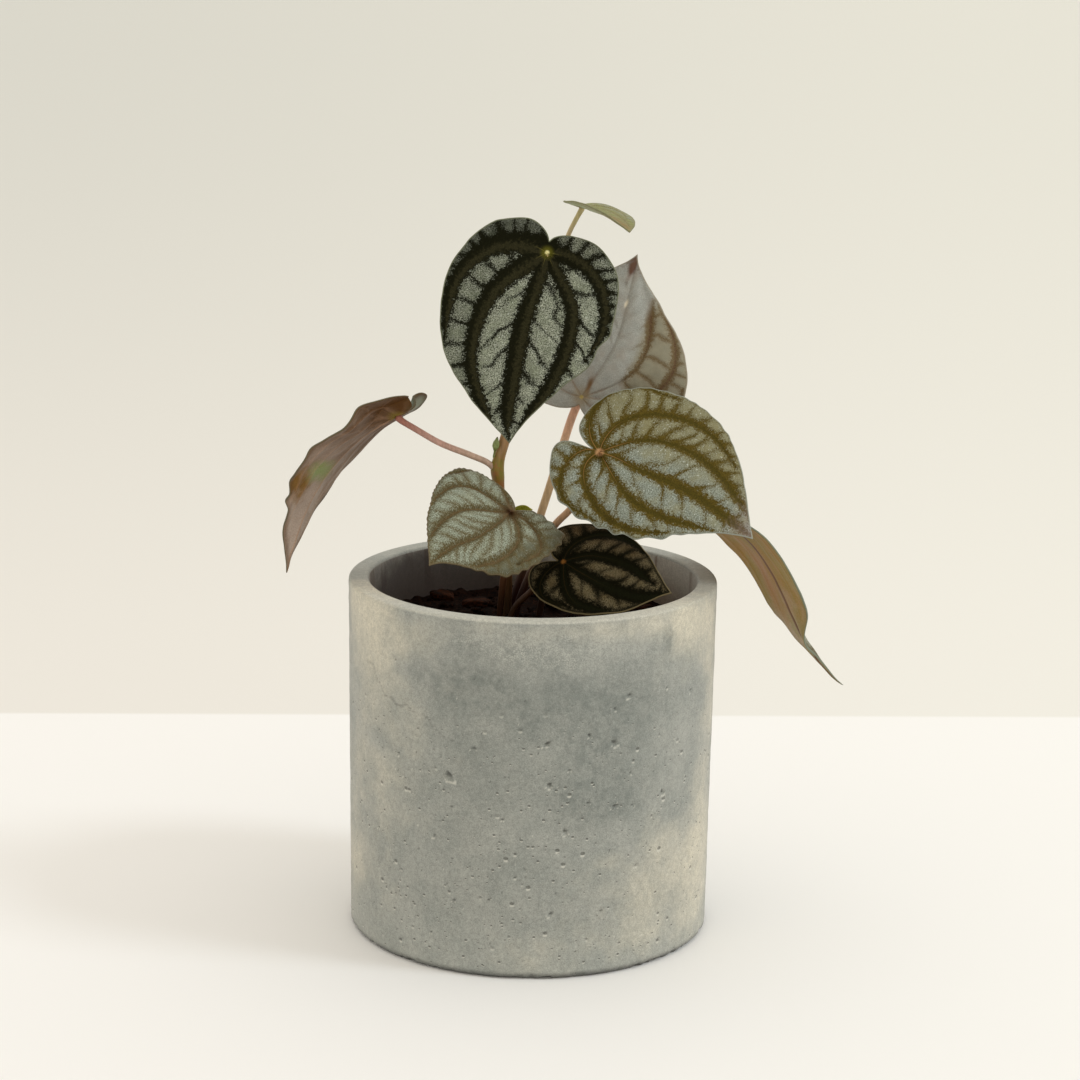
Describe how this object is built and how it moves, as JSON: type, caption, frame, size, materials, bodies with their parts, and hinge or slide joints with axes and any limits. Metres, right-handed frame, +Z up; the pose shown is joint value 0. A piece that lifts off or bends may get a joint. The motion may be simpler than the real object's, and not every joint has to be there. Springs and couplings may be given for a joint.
{
  "type": "potted peperomia",
  "caption": "Young striped peperomia with heart-shaped silver and dark leaves on slim stalks, rooted in bark mix in a straight concrete pot.",
  "frame": {"origin": "centre of the pot's underside", "axes": "+Z up along the pot's axis, -Y towards the front, the side that most leaves face"},
  "size_m": [0.1685, 0.11, 0.2191],
  "materials": {
    "concrete": "cast grey concrete, matt, with air pits",
    "potting_mix": "damp dark potting mix",
    "bark": "orange-brown pine bark flakes",
    "stem": "smooth fleshy stem, tan to green",
    "petiole": "smooth pinkish leaf stalk",
    "dark_leaf": "silver stippled panels between wide near-black veins, satin",
    "silver_leaf": "pale silver stippled panels between olive-brown veins, satin",
    "bud": "fresh yellow-green, satin"
  },
  "bodies": {
    "root": {"pot": "concrete", "potting_mix": "potting_mix", "main_stem": "stem", "node_bud": "bud", "young_leaf": "bud", "top_petiole": "petiole", "top_leaf": "dark_leaf", "right_petiole": "petiole", "right_leaf": "silver_leaf", "front_petiole": "petiole", "front_leaf": "silver_leaf", "low_petiole": "petiole", "low_leaf": "dark_leaf", "back_petiole": "petiole", "back_leaf": "silver_leaf", "left_petiole": "petiole", "left_leaf": "silver_leaf", "drooping_petiole": "petiole", "drooping_leaf": "silver_leaf", "crown_petiole": "petiole", "crown_leaf": "silver_leaf", "bark_chip_1": "bark", "bark_chip_2": "bark", "bark_chip_3": "bark", "bark_chip_4": "bark", "bark_chip_5": "bark", "bark_chip_6": "bark", "bark_chip_7": "bark", "bark_chip_8": "bark", "bark_chip_9": "bark", "bark_chip_10": "bark", "bark_chip_11": "bark", "bark_chip_12": "bark"}
  },
  "joints": []
}
